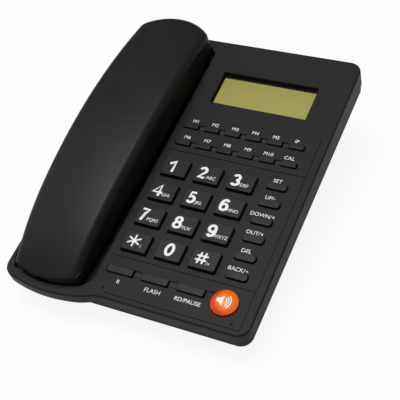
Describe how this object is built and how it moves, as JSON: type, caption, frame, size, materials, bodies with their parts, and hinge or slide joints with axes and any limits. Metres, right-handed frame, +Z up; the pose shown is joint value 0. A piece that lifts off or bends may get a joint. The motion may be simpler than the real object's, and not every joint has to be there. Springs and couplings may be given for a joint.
{
  "type": "corded desk telephone",
  "caption": "Corded desk telephone with a handset in a side cradle, sloping key panel, window display and round hands-free key.",
  "frame": {"origin": "middle of the telephone's footprint, on the table", "axes": "+X to the user's right, +Y to the back, +Z up; the key panel slopes up towards +Y by 10 degrees"},
  "size_m": [0.155, 0.207, 0.075],
  "materials": {
    "case": "fine moulded texture, black",
    "handset": "satin moulded black",
    "key": "satin dark grey, printed legends",
    "orange": "orange, satin",
    "display": "yellow-green display behind a clear window",
    "module": "plain",
    "mat": "plain",
    "board": "coated circuit board",
    "inner": "plain",
    "socket": "plain",
    "knob": "plain",
    "rubber": "plain",
    "steel": "plated",
    "iron": "rough",
    "cell": "plain sleeve"
  },
  "bodies": {
    "base": {"upper_case": "case", "lower_case": "case", "display_window": "display", "display_module": "module", "key_mat": "mat", "key_board": "board", "main_board": "board", "hook_switch": "inner", "loudspeaker": "inner", "line_socket": "socket", "base_handset_socket": "socket", "ringer_switch": "inner", "rubber_feet": "rubber", "case_screws": "steel", "board_screws": "steel", "battery_cells": "cell"},
    "handset": {"handset_upper_shell": "handset", "handset_lower_shell": "handset", "receiver_capsule": "inner", "microphone_capsule": "inner", "handset_socket": "socket", "handset_weight": "iron", "handset_screws": "steel"},
    "hook_plunger": {"hook_plunger": "case"},
    "ringer_slide_knob": {"ringer_slide_knob": "knob"},
    "battery_door": {"battery_door": "case"},
    "dial_key_1": {"dial_key_1": "key"},
    "dial_key_2": {"dial_key_2": "key"},
    "dial_key_3": {"dial_key_3": "key"},
    "dial_key_4": {"dial_key_4": "key"},
    "dial_key_5": {"dial_key_5": "key"},
    "dial_key_6": {"dial_key_6": "key"},
    "dial_key_7": {"dial_key_7": "key"},
    "dial_key_8": {"dial_key_8": "key"},
    "dial_key_9": {"dial_key_9": "key"},
    "dial_key_star": {"dial_key_star": "key"},
    "dial_key_0": {"dial_key_0": "key"},
    "dial_key_hash": {"dial_key_hash": "key"},
    "memory_key_01": {"memory_key_01": "key"},
    "memory_key_02": {"memory_key_02": "key"},
    "memory_key_03": {"memory_key_03": "key"},
    "memory_key_04": {"memory_key_04": "key"},
    "memory_key_05": {"memory_key_05": "key"},
    "memory_key_06": {"memory_key_06": "key"},
    "memory_key_07": {"memory_key_07": "key"},
    "memory_key_08": {"memory_key_08": "key"},
    "memory_key_09": {"memory_key_09": "key"},
    "memory_key_10": {"memory_key_10": "key"},
    "memory_key_11": {"memory_key_11": "key"},
    "memory_key_12": {"memory_key_12": "key"},
    "function_key_1": {"function_key_1": "key"},
    "function_key_2": {"function_key_2": "key"},
    "function_key_3": {"function_key_3": "key"},
    "function_key_4": {"function_key_4": "key"},
    "function_key_5": {"function_key_5": "key"},
    "function_key_6": {"function_key_6": "key"},
    "line_key_1": {"line_key_1": "key"},
    "line_key_2": {"line_key_2": "key"},
    "line_key_3": {"line_key_3": "key"},
    "handsfree_key": {"handsfree_key": "orange"}
  },
  "joints": [
    {"name": "handset_lift", "type": "slide", "parent": "base", "child": "handset", "axis": [0, -0.1736, 0.9848], "range_m": [0, 0.06]},
    {"name": "hook_rise", "type": "slide", "parent": "base", "child": "hook_plunger", "axis": [0, -0.1736, 0.9848], "range_m": [0, 0.0032]},
    {"name": "ringer_slide", "type": "slide", "parent": "base", "child": "ringer_slide_knob", "axis": [0, 1, 0], "range_m": [0, 0.004]},
    {"name": "battery_door_slide", "type": "slide", "parent": "base", "child": "battery_door", "axis": [0, 1, 0], "range_m": [0, 0.025]},
    {"name": "dial_key_1_press", "type": "slide", "parent": "base", "child": "dial_key_1", "axis": [0, 0.1736, -0.9848], "range_m": [0, 0.0012], "stiffness_N_per_m": 500},
    {"name": "dial_key_2_press", "type": "slide", "parent": "base", "child": "dial_key_2", "axis": [0, 0.1736, -0.9848], "range_m": [0, 0.0012], "stiffness_N_per_m": 500},
    {"name": "dial_key_3_press", "type": "slide", "parent": "base", "child": "dial_key_3", "axis": [0, 0.1736, -0.9848], "range_m": [0, 0.0012], "stiffness_N_per_m": 500},
    {"name": "dial_key_4_press", "type": "slide", "parent": "base", "child": "dial_key_4", "axis": [0, 0.1736, -0.9848], "range_m": [0, 0.0012], "stiffness_N_per_m": 500},
    {"name": "dial_key_5_press", "type": "slide", "parent": "base", "child": "dial_key_5", "axis": [0, 0.1736, -0.9848], "range_m": [0, 0.0012], "stiffness_N_per_m": 500},
    {"name": "dial_key_6_press", "type": "slide", "parent": "base", "child": "dial_key_6", "axis": [0, 0.1736, -0.9848], "range_m": [0, 0.0012], "stiffness_N_per_m": 500},
    {"name": "dial_key_7_press", "type": "slide", "parent": "base", "child": "dial_key_7", "axis": [0, 0.1736, -0.9848], "range_m": [0, 0.0012], "stiffness_N_per_m": 500},
    {"name": "dial_key_8_press", "type": "slide", "parent": "base", "child": "dial_key_8", "axis": [0, 0.1736, -0.9848], "range_m": [0, 0.0012], "stiffness_N_per_m": 500},
    {"name": "dial_key_9_press", "type": "slide", "parent": "base", "child": "dial_key_9", "axis": [0, 0.1736, -0.9848], "range_m": [0, 0.0012], "stiffness_N_per_m": 500},
    {"name": "dial_key_star_press", "type": "slide", "parent": "base", "child": "dial_key_star", "axis": [0, 0.1736, -0.9848], "range_m": [0, 0.0012], "stiffness_N_per_m": 500},
    {"name": "dial_key_0_press", "type": "slide", "parent": "base", "child": "dial_key_0", "axis": [0, 0.1736, -0.9848], "range_m": [0, 0.0012], "stiffness_N_per_m": 500},
    {"name": "dial_key_hash_press", "type": "slide", "parent": "base", "child": "dial_key_hash", "axis": [0, 0.1736, -0.9848], "range_m": [0, 0.0012], "stiffness_N_per_m": 500},
    {"name": "memory_key_01_press", "type": "slide", "parent": "base", "child": "memory_key_01", "axis": [0, 0.1736, -0.9848], "range_m": [0, 0.0012], "stiffness_N_per_m": 500},
    {"name": "memory_key_02_press", "type": "slide", "parent": "base", "child": "memory_key_02", "axis": [0, 0.1736, -0.9848], "range_m": [0, 0.0012], "stiffness_N_per_m": 500},
    {"name": "memory_key_03_press", "type": "slide", "parent": "base", "child": "memory_key_03", "axis": [0, 0.1736, -0.9848], "range_m": [0, 0.0012], "stiffness_N_per_m": 500},
    {"name": "memory_key_04_press", "type": "slide", "parent": "base", "child": "memory_key_04", "axis": [0, 0.1736, -0.9848], "range_m": [0, 0.0012], "stiffness_N_per_m": 500},
    {"name": "memory_key_05_press", "type": "slide", "parent": "base", "child": "memory_key_05", "axis": [0, 0.1736, -0.9848], "range_m": [0, 0.0012], "stiffness_N_per_m": 500},
    {"name": "memory_key_06_press", "type": "slide", "parent": "base", "child": "memory_key_06", "axis": [0, 0.1736, -0.9848], "range_m": [0, 0.0012], "stiffness_N_per_m": 500},
    {"name": "memory_key_07_press", "type": "slide", "parent": "base", "child": "memory_key_07", "axis": [0, 0.1736, -0.9848], "range_m": [0, 0.0012], "stiffness_N_per_m": 500},
    {"name": "memory_key_08_press", "type": "slide", "parent": "base", "child": "memory_key_08", "axis": [0, 0.1736, -0.9848], "range_m": [0, 0.0012], "stiffness_N_per_m": 500},
    {"name": "memory_key_09_press", "type": "slide", "parent": "base", "child": "memory_key_09", "axis": [0, 0.1736, -0.9848], "range_m": [0, 0.0012], "stiffness_N_per_m": 500},
    {"name": "memory_key_10_press", "type": "slide", "parent": "base", "child": "memory_key_10", "axis": [0, 0.1736, -0.9848], "range_m": [0, 0.0012], "stiffness_N_per_m": 500},
    {"name": "memory_key_11_press", "type": "slide", "parent": "base", "child": "memory_key_11", "axis": [0, 0.1736, -0.9848], "range_m": [0, 0.0012], "stiffness_N_per_m": 500},
    {"name": "memory_key_12_press", "type": "slide", "parent": "base", "child": "memory_key_12", "axis": [0, 0.1736, -0.9848], "range_m": [0, 0.0012], "stiffness_N_per_m": 500},
    {"name": "function_key_1_press", "type": "slide", "parent": "base", "child": "function_key_1", "axis": [0, 0.1736, -0.9848], "range_m": [0, 0.0012], "stiffness_N_per_m": 500},
    {"name": "function_key_2_press", "type": "slide", "parent": "base", "child": "function_key_2", "axis": [0, 0.1736, -0.9848], "range_m": [0, 0.0012], "stiffness_N_per_m": 500},
    {"name": "function_key_3_press", "type": "slide", "parent": "base", "child": "function_key_3", "axis": [0, 0.1736, -0.9848], "range_m": [0, 0.0012], "stiffness_N_per_m": 500},
    {"name": "function_key_4_press", "type": "slide", "parent": "base", "child": "function_key_4", "axis": [0, 0.1736, -0.9848], "range_m": [0, 0.0012], "stiffness_N_per_m": 500},
    {"name": "function_key_5_press", "type": "slide", "parent": "base", "child": "function_key_5", "axis": [0, 0.1736, -0.9848], "range_m": [0, 0.0012], "stiffness_N_per_m": 500},
    {"name": "function_key_6_press", "type": "slide", "parent": "base", "child": "function_key_6", "axis": [0, 0.1736, -0.9848], "range_m": [0, 0.0012], "stiffness_N_per_m": 500},
    {"name": "line_key_1_press", "type": "slide", "parent": "base", "child": "line_key_1", "axis": [0, 0.1736, -0.9848], "range_m": [0, 0.0012], "stiffness_N_per_m": 500},
    {"name": "line_key_2_press", "type": "slide", "parent": "base", "child": "line_key_2", "axis": [0, 0.1736, -0.9848], "range_m": [0, 0.0012], "stiffness_N_per_m": 500},
    {"name": "line_key_3_press", "type": "slide", "parent": "base", "child": "line_key_3", "axis": [0, 0.1736, -0.9848], "range_m": [0, 0.0012], "stiffness_N_per_m": 500},
    {"name": "handsfree_key_press", "type": "slide", "parent": "base", "child": "handsfree_key", "axis": [0, 0.1736, -0.9848], "range_m": [0, 0.0012], "stiffness_N_per_m": 500}
  ],
  "couplings": [
    {"joint": "hook_rise", "follows": "handset_lift", "ratio": 0.053333}
  ]
}
